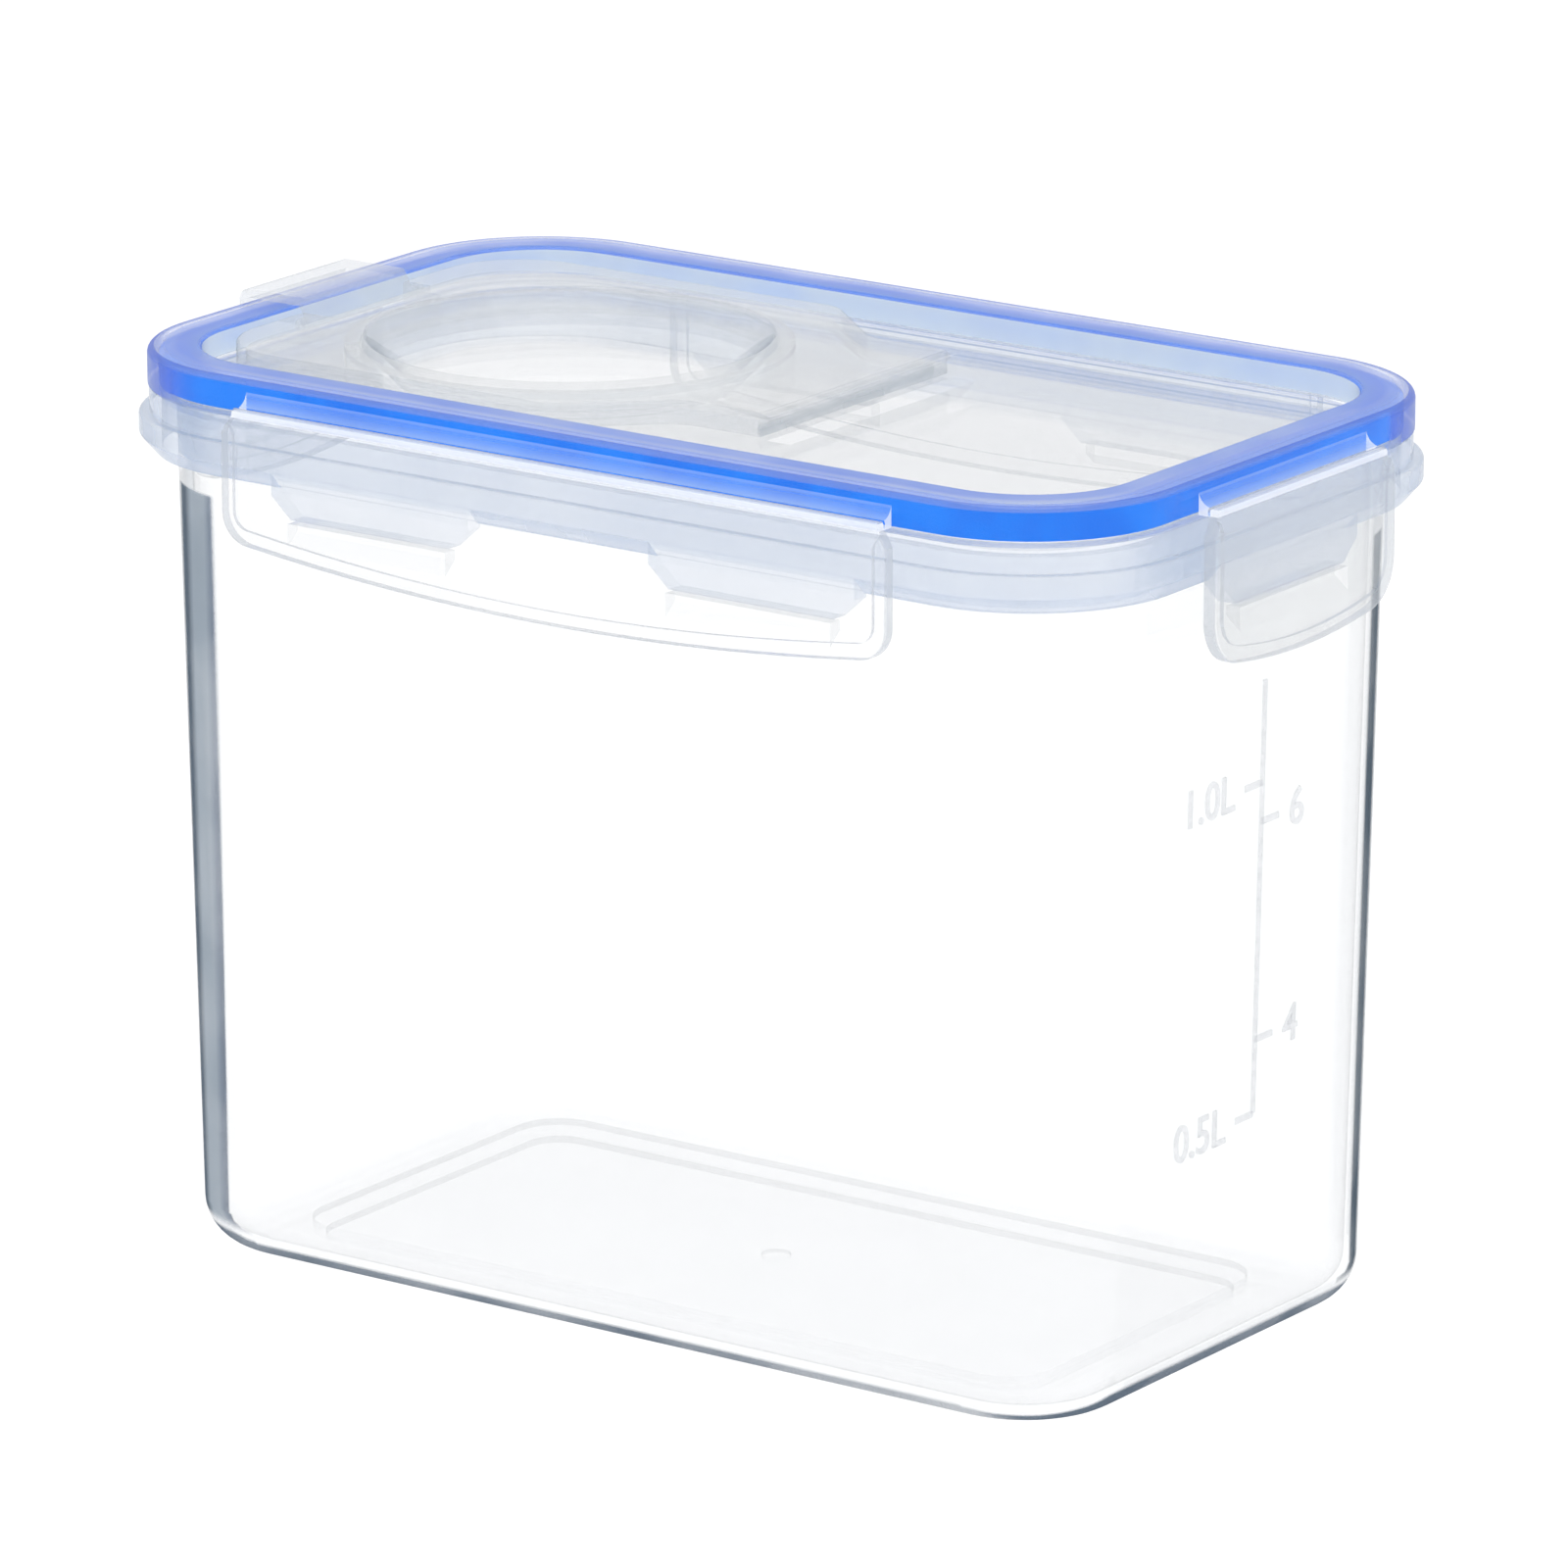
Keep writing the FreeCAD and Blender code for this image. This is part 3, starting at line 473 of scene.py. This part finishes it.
def lid_plastic():
    """Clear lid: a painted tint of the gasket seen through it, blue to lavender on the top of the rim, lavender
    on its shoulder, blue on its skirt; pale wall inside it, milky panel, hinge ledges with painted reflection
    stripes and painted end highlights, painted shade on rounded edges.
    """
    lid = Moulding("clear_lid")
    tree = lid.tree
    lid.haze(LID_COVER, LID_PALE)
    reach = lid.rim_reach()
    rim = ease(tree, lid.z, *LID_RIM)
    level = ease(tree, lid.lean_z, *PANEL_LEVEL)
    lid.haze(lid.times(level, lid.without(rim), PANEL_COVER), PANEL_MILK)

    # Painted tint: the blue gasket seen through the top of the rim, deep blue at its inner edge and lavender
    # further out.
    crown_tint_colour, crown_tint_cover = shade_ramp(tree, along(tree, reach, *CROWN_REACH), CROWN_PAINTED_GASKET_TINT)
    on_rim = lid.times(rim, calc(tree, "GREATER_THAN", reach, CROWN_REACH[0]))
    lid.haze(lid.times(on_rim, level, crown_tint_cover), crown_tint_colour)
    # Painted tint: lavender on the rim's outer shoulder, for the gasket seen through it.
    outer = calc(tree, "GREATER_THAN", reach, GASKET_REACH)
    shoulder = lid.times(rim, outer, ease(tree, lid.lean_z, *SLOPING), lid.without(level))
    lid.haze(lid.times(shoulder, SHOULDER_COVER), SHOULDER_PAINTED_GASKET_LAVENDER)
    near_rim = lid.times(calc(tree, "GREATER_THAN", reach, INNER_WALL_REACH[0]),
                         calc(tree, "LESS_THAN", reach, INNER_WALL_REACH[1]))
    inner_wall = lid.times(near_rim, ease(tree, lid.lean_z, *SLOPING, 1.0, 0.0))
    wall_cover = ease(tree, lid.z, *INNER_WALL_FOOT, 0.0, INNER_WALL_COVER)
    lid.haze(lid.times(inner_wall, wall_cover), INNER_WALL_PALE)

    ledge = calc(tree, "GREATER_THAN", reach, LEDGE_REACH)
    # Painted tint and reflection: light blue stripes on the ledges' upward faces.
    ledge_haze_and_reflection_colour, ledge_haze_and_reflection_cover = shade_ramp(tree, along(tree, lid.z, *LEDGE_HEIGHT), LEDGE_HAZE_AND_PAINTED_REFLECTION)
    lid.haze(lid.times(ledge, ease(tree, lid.rise, *LEDGE_SLOPING), ledge_haze_and_reflection_cover), ledge_haze_and_reflection_colour)
    # Painted highlight: white on the end faces of the hinge ledges.
    end = calc(tree, "MAXIMUM", lid.times(lid.beyond("x", LEDGE_END_REACH["x"]), lid.lean_y),
               lid.times(lid.beyond("y", LEDGE_END_REACH["y"]), lid.lean_x))
    lid.haze(lid.times(ledge, ease(tree, end, *LEDGE_END, 0.0, LEDGE_END_HIGHLIGHT_COVER)), LEDGE_END_PAINTED_HIGHLIGHT)

    rounded = lid.rounded()
    # Painted tint: the gasket's blue seen through the rounded skirt at a glance.
    skirt = lid.times(outer, lid.without(ledge), rounded, ease(tree, lid.glance, *SKIRT_GLANCE))
    lid.haze(lid.times(skirt, SKIRT_COVER), SKIRT_PAINTED_GASKET_BLUE)
    # Painted shade: greyer rounded edges at a glance, bluer on the rim.
    edge = lid.times(rounded, ease(tree, lid.glance, *EDGE_GLANCE))
    lid.haze(lid.times(edge, LID_EDGE_COVER), mix_colour(tree, rim, LID_EDGE_PAINTED_SHADE, RIM_EDGE_PAINTED_SHADE))
    return lid.finish(*LID_SHINE, lid.times(edge, EDGE_DULL))


def wing_plastic(name, across):
    """Clear wing: nearly clear plate, painted shade on its raised border edges, a painted white highlight along
    the hinge.
    """
    wing = Moulding(name)
    tree = wing.tree
    wing.haze(ease(tree, wing.glance, *WING_GLANCE, *WING_COVER), WING_GREY)
    flat = {"x": wing.lean_x, "y": wing.lean_y}[across]
    # Painted shade: greyer border edges around the wing's plate.
    edge = wing.times(ease(tree, flat, *WING_FLAT, 1.0, 0.0), wing.beyond(across, WING_PLATE_REACH[across]))
    wing.haze(wing.times(edge, WING_EDGE_COVER), WING_EDGE_PAINTED_SHADE)
    # Painted highlight: a white line along the hinge.
    height = calc(tree, "ABSOLUTE", calc(tree, "SUBTRACT", wing.z, HINGE_HEIGHT))
    hinge = ease(tree, height, *HINGE_HALF, 1.0, 0.0)
    wing.haze(wing.times(hinge, HINGE_HIGHLIGHT_COVER), HINGE_PAINTED_HIGHLIGHT)
    return wing.finish(*WING_SHINE)


def flap_plastic():
    """Clear flap: milky plate, painted shade on the dish wall and edges, a clearer dish floor, a painted shadow
    at the foot of the hinge end.
    """
    flap = Moulding("flap_plastic")
    tree = flap.tree
    flap.haze(FLAP_COVER, FLAP_MILK)
    level = flap.level()
    above_floor = ease(tree, flap.z, *DISH_FLOOR)
    flap.haze(flap.times(level, above_floor, FLAP_PLATE_COVER), FLAP_MILK)
    # Painted shade on every face of the flap that does not lie flat, such as the dish wall.
    flap.haze(flap.times(flap.without(level), DISH_WALL_COVER), DISH_WALL_PAINTED_SHADE)
    # Painted shade: greyer rounded edges at a glance.
    edge = flap.times(flap.rounded(), ease(tree, flap.glance, *EDGE_GLANCE))
    flap.haze(flap.times(edge, FLAP_EDGE_COVER), FLAP_EDGE_PAINTED_SHADE)
    # Painted shadow: dark at the foot of the flap's hinge end, fading upwards.
    hinge_end = flap.times(ease(tree, flap.x, *FLAP_HINGE_END), ease(tree, flap.lean_x, *FLAP_END))
    foot_shadow_cover = ease(tree, flap.z, *FLAP_FOOT, *FLAP_FOOT_SHADOW_COVER)
    flap.haze(flap.times(hinge_end, foot_shadow_cover), FLAP_EDGE_PAINTED_SHADE)
    return flap.finish(*FLAP_SHINE, flap.times(edge, EDGE_DULL))


def ring_silicone():
    """Clear soft silicone of the flap's seal, cloudy all through."""
    ring = Moulding("clear_silicone")
    cloud = noise(ring.tree, ring.place, RING_CLOUD_SCALE)
    ring.haze(ease(ring.tree, cloud, *CLOUD_SPREAD, *RING_COVER), RING_PALE)
    return ring.finish(*RING_SHINE)


def mark_plastic():
    """Raised marks: the tub's plastic, finely frosted."""
    mark = Moulding("scale_marks")
    frost = noise(mark.tree, mark.place, MARK_FROST_SCALE)
    mark.haze(ease(mark.tree, frost, *CLOUD_SPREAD, *MARK_COVER), MARK_GREY)
    return mark.finish(*MARK_SHINE)


def gasket_silicone():
    """Deep blue silicone with a faintly mottled colour and a dull sheen."""
    material, tree = new_tree("blue_silicone")
    place = node(tree, "ShaderNodeTexCoord").outputs["Object"]
    mottle = ease(tree, noise(tree, place, GASKET_MOTTLE_SCALE, FINE_DETAIL), *GASKET_MOTTLE_SPREAD)
    colour = mix_colour(tree, mottle, GASKET_DEEP_BLUE, GASKET_BLUE)
    grain = node(tree, "ShaderNodeBump", Strength=0.15, Distance=GASKET_GRAIN_DEPTH,
                 Height=noise(tree, place, GASKET_GRAIN_SCALE, COARSE_DETAIL))
    body = node(tree, "ShaderNodeBsdfPrincipled", Base_Color=colour, Normal=grain.outputs[0], Roughness=0.5,
                Specular_IOR_Level=0.15)
    node(tree, "ShaderNodeOutputMaterial", Surface=body.outputs[0])
    return material


def floor_paper():
    """Pale seamless paper with a fine tooth."""
    material, tree = new_tree("pale_floor")
    place = node(tree, "ShaderNodeTexCoord").outputs["Object"]
    tooth = ease(tree, noise(tree, place, PAPER_TOOTH_SCALE, FINE_DETAIL), *CLOUD_SPREAD)
    colour = mix_colour(tree, tooth, FLOOR_DIM_COLOUR, FLOOR_COLOUR)
    body = node(tree, "ShaderNodeBsdfPrincipled", Base_Color=colour, Roughness=0.9)
    node(tree, "ShaderNodeOutputMaterial", Surface=body.outputs[0])
    return material


def let_light_through(piece):
    """A piece of the container throws no shadow and no colour on what is around it, as in the photograph."""
    piece.visible_shadow = False
    piece.visible_diffuse = False


tub_finish = tub_plastic()
lid_finish = lid_plastic()
long_wing_finish = wing_plastic("long_wing_plastic", "y")
short_wing_finish = wing_plastic("short_wing_plastic", "x")
flap_finish = flap_plastic()
NODE_FINISHES = {
    "container": tub_finish,
    "lid": lid_finish,
    "lid_gasket": gasket_silicone(),
    "front_wing": long_wing_finish,
    "back_wing": long_wing_finish,
    "left_wing": short_wing_finish,
    "right_wing": short_wing_finish,
    "flap": flap_finish,
    "flap_seal": ring_silicone(),
    "flap_latch": flap_finish,
}
for node_name, finish in NODE_FINISHES.items():
    slots = nodes[node_name].data.materials
    slots.clear()
    slots.append(finish)
    let_light_through(nodes[node_name])


# Fill scale

def lay_on_wall(mesh):
    """Lay a shape, drawn in XY, on the right wall's drafted outer face: X goes to +Y, Y goes up the wall."""
    draft = math.radians(WALL_DRAFT_DEG)
    up = Vector((math.sin(draft), 0, math.cos(draft)))
    out = Vector((math.cos(draft), 0, -math.sin(draft)))
    foot = Vector((WALL_BASE_HALF_LENGTH, 0, 0))
    turn = Matrix((Vector((0, 1, 0)), up, out)).transposed().to_4x4()
    mesh.transform(Matrix.Translation(foot) @ turn)


def bar_tree():
    """Geometry Nodes for low raised bars with sloping sides, one on each point."""
    tree = bpy.data.node_groups.new("raised_bars", "GeometryNodeTree")
    tree.interface.new_socket("Points", in_out="INPUT", socket_type="NodeSocketGeometry")
    for size in ("Wide", "Tall", "Rise", "Slope"):
        tree.interface.new_socket(size, in_out="INPUT", socket_type="NodeSocketFloat")
    tree.interface.new_socket("Finish", in_out="INPUT", socket_type="NodeSocketMaterial")
    tree.interface.new_socket("Bars", in_out="OUTPUT", socket_type="NodeSocketGeometry")
    given = node(tree, "NodeGroupInput").outputs
    size = node(tree, "ShaderNodeCombineXYZ", X=given["Wide"], Y=given["Tall"], Z=given["Rise"]).outputs[0]
    block = node(tree, "GeometryNodeMeshCube", Size=size).outputs["Mesh"]
    corner = node(tree, "GeometryNodeInputPosition").outputs[0]
    top = calc(tree, "GREATER_THAN", node(tree, "ShaderNodeSeparateXYZ", Vector=corner).outputs[2], 0.0)
    inward = calc(tree, "MULTIPLY", given["Slope"], -1.0)
    inset = node(tree, "ShaderNodeCombineXYZ", X=inward, Y=inward).outputs[0]
    shift = vector_calc(tree, "MULTIPLY", vector_calc(tree, "SIGN", corner).outputs[0], inset).outputs[0]
    sloped = node(tree, "GeometryNodeSetPosition", Geometry=block, Selection=top, Offset=shift).outputs[0]
    lift = node(tree, "ShaderNodeCombineXYZ", Z=calc(tree, "MULTIPLY", given["Rise"], 0.5)).outputs[0]
    bar = node(tree, "GeometryNodeTransform", Geometry=sloped, Translation=lift).outputs[0]
    bars = node(tree, "GeometryNodeInstanceOnPoints", Points=given["Points"], Instance=bar).outputs[0]
    solid = node(tree, "GeometryNodeRealizeInstances", Geometry=bars).outputs[0]
    finished = node(tree, "GeometryNodeSetMaterial", Geometry=solid, Material=given["Finish"]).outputs[0]
    node(tree, "NodeGroupOutput", Bars=finished)
    return tree


def evaluated_mesh(carrier):
    """A plain mesh of what an object shows; the object is then removed."""
    bpy.context.view_layer.update()
    depsgraph = bpy.context.evaluated_depsgraph_get()
    mesh = bpy.data.meshes.new_from_object(carrier.evaluated_get(depsgraph))
    bpy.data.objects.remove(carrier)
    return mesh


def raised_bars(tree, centres, wide, tall, finish):
    """Bars around their centres, drawn in XY."""
    points = bpy.data.meshes.new("bar_centres")
    points.from_pydata([(x, y, 0.0) for x, y in centres], [], [])
    carrier = bpy.data.objects.new("bar_centres", points)
    bpy.context.scene.collection.objects.link(carrier)
    bars = carrier.modifiers.new("bars", "NODES")
    bars.node_group = tree
    slope = min(wide, tall) * SCALE_SLOPE
    given = {"Wide": wide, "Tall": tall, "Rise": SCALE_RISE, "Slope": slope, "Finish": finish}
    for socket in tree.interface.items_tree:
        if socket.in_out == "INPUT" and socket.name in given:
            bars[socket.identifier] = given[socket.name]
    return evaluated_mesh(carrier)


def figure_mesh(words, align):
    """Raised figures, drawn in XY with their middle line on the X axis."""
    curve = bpy.data.curves.new("figures", "FONT")
    curve.body = words
    curve.size = SCALE_TEXT_SIZE
    curve.align_x = align
    curve.align_y = "CENTER"
    curve.extrude = SCALE_RISE / 2
    curve.offset = SCALE_TEXT_SWELL
    carrier = bpy.data.objects.new("figures", curve)
    bpy.context.scene.collection.objects.link(carrier)
    mesh = evaluated_mesh(carrier)
    mesh.transform(Matrix.Translation((0, 0, SCALE_RISE / 2)))
    return mesh


def join_meshes(name, meshes):
    """One object made of several finished meshes, at the origin."""
    joined = bmesh.new()
    for mesh in meshes:
        joined.from_mesh(mesh)
        bpy.data.meshes.remove(mesh)
    bmesh.ops.recalc_face_normals(joined, faces=joined.faces)
    merged = bpy.data.meshes.new(name)
    joined.to_mesh(merged)
    joined.free()
    made = bpy.data.objects.new(name, merged)
    bpy.context.scene.collection.objects.link(made)
    return made


def build_fill_scale():
    """Upright line with two ticks a side, and their figures, raised on the right wall."""
    tree = bar_tree()
    finish = mark_plastic()
    middle = (SCALE_LINE_Y, (SCALE_LINE_FROM + SCALE_LINE_TO) / 2)
    meshes = [raised_bars(tree, [middle], SCALE_LINE_WIDTH, SCALE_LINE_TO - SCALE_LINE_FROM, finish)]
    tick_centres = []
    for side, align, marks in ((-1, "RIGHT", SCALE_LITRES), (1, "LEFT", SCALE_CUPS)):
        for height, words in marks:
            tick_centres.append((SCALE_LINE_Y + side * SCALE_TICK / 2, height))
            figures = figure_mesh(words, align)
            figures_y = SCALE_LINE_Y + side * (SCALE_TICK + SCALE_TEXT_GAP)
            figures.transform(Matrix.Translation((figures_y, height, 0)))
            meshes.append(figures)
    meshes.append(raised_bars(tree, tick_centres, SCALE_TICK, SCALE_LINE_WIDTH, finish))
    for mesh in meshes:
        lay_on_wall(mesh)
    scale = join_meshes("fill_scale", meshes)
    scale.data.materials.clear()
    scale.data.materials.append(finish)
    let_light_through(scale)
    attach(scale, "container")


build_fill_scale()


# Studio

def build_floor():
    """Pale floor, just under the tub's base."""
    low = -FLOOR_GAP
    size = FLOOR_HALF_SIZE
    corners = [(-size, -size, low), (size, -size, low), (size, size, low), (-size, size, low)]
    mesh = bpy.data.meshes.new("floor")
    mesh.from_pydata(corners, [], [(0, 1, 2, 3)])
    mesh.materials.append(floor_paper())
    floor = bpy.data.objects.new("floor", mesh)
    bpy.context.scene.collection.objects.link(floor)


def build_sky():
    """Soft even light all round, a little cooler and dimmer towards the horizon."""
    world = bpy.data.worlds.new("studio")
    world.use_nodes = True
    tree = world.node_tree
    tree.nodes.clear()
    direction = node(tree, "ShaderNodeTexCoord").outputs["Generated"]
    height = node(tree, "ShaderNodeSeparateXYZ", Vector=direction).outputs[2]
    colour = mix_colour(tree, ease(tree, height, *SKY_RISE), SKY_HORIZON, SKY_ZENITH)
    glow = node(tree, "ShaderNodeBackground", Color=colour, Strength=SKY_STRENGTH)
    node(tree, "ShaderNodeOutputWorld", Surface=glow.outputs[0])
    bpy.context.scene.world = world


def build_light(name, place, size, power):
    """Large soft square light that looks at the container."""
    light = bpy.data.lights.new(name, "AREA")
    light.shape = "SQUARE"
    light.size = size
    light.energy = power
    lamp = bpy.data.objects.new(name, light)
    lamp.location = place
    lamp.rotation_euler = (CAMERA_TARGET - place).to_track_quat("-Z", "Y").to_euler()
    bpy.context.scene.collection.objects.link(lamp)


def build_camera():
    """Camera at the photograph's angle, far off with a long lens."""
    camera = bpy.data.cameras.new("camera")
    camera.sensor_width = CAMERA_SENSOR_MM
    camera.lens = CAMERA_LENS_MM
    camera.clip_start, camera.clip_end = CAMERA_CLIP
    holder = bpy.data.objects.new("camera", camera)
    yaw = math.radians(CAMERA_YAW_DEG)
    pitch = math.radians(CAMERA_PITCH_DEG)
    level = math.cos(pitch)
    back = Vector((math.sin(yaw) * level, -math.cos(yaw) * level, math.sin(pitch)))
    holder.location = CAMERA_TARGET + back * CAMERA_DISTANCE
    holder.rotation_euler = back.to_track_quat("Z", "Y").to_euler()
    bpy.context.scene.collection.objects.link(holder)
    bpy.context.scene.camera = holder


build_floor()
build_sky()
build_light("key", KEY_PLACE, KEY_SIZE, KEY_POWER)
build_light("fill", FILL_PLACE, FILL_SIZE, FILL_POWER)
build_camera()
scene = bpy.context.scene
scene.view_settings.view_transform = "Standard"
scene.cycles.transparent_max_bounces = 32
scene.cycles.max_bounces = 5
scene.cycles.diffuse_bounces = 2
scene.cycles.glossy_bounces = 3
